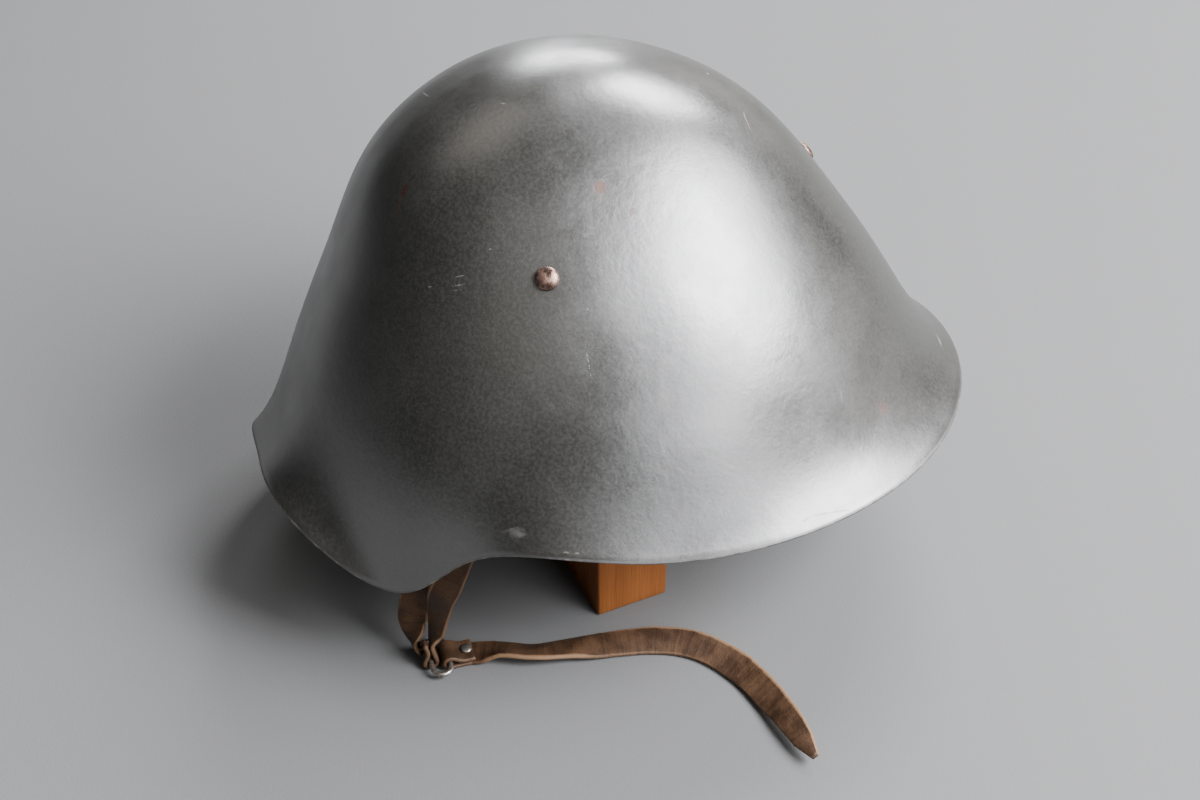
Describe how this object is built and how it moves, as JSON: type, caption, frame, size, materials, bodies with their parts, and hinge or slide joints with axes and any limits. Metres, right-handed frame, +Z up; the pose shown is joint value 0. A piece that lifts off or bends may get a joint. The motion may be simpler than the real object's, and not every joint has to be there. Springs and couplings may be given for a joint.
{
  "type": "steel combat helmet on a wooden block",
  "caption": "Sloping-sided steel combat helmet with domed rivets and an unfastened leather chin strap, propped at a tilt on a plain wooden block.",
  "frame": {"origin": "on the floor, under the middle of the whole footprint", "axes": "+Z up; the helmet faces -Y, and the wearer's left, which the block raises, is +X"},
  "size_m": [0.2972, 0.3026, 0.2097],
  "materials": {
    "paint": "worn dark green-grey paint, semi-gloss, with specks of rust and fine scratches",
    "rivet": "worn domed head, reddish bare metal with traces of paint",
    "fittings": "dull bare metal",
    "strap_leather": "dry brown leather with pale raw edges",
    "band_leather": "plain dark brown leather",
    "block_wood": "smooth orange-brown wood with straight grain"
  },
  "bodies": {
    "root": {"shell": "paint", "strap_band": "band_leather", "rivet_front_left": "rivet", "rivet_front_right": "rivet", "rivet_rear": "rivet", "left_front_leg_stud": "fittings", "left_rear_leg_stud": "fittings", "right_front_leg_stud": "fittings", "right_rear_leg_stud": "fittings", "left_front_leg": "strap_leather", "left_rear_leg": "strap_leather", "right_front_leg": "strap_leather", "right_rear_leg": "strap_leather", "left_loop": "fittings", "right_loop": "fittings", "chin_strap": "strap_leather", "chin_strap_stud": "fittings", "stand_block": "block_wood"}
  },
  "joints": []
}
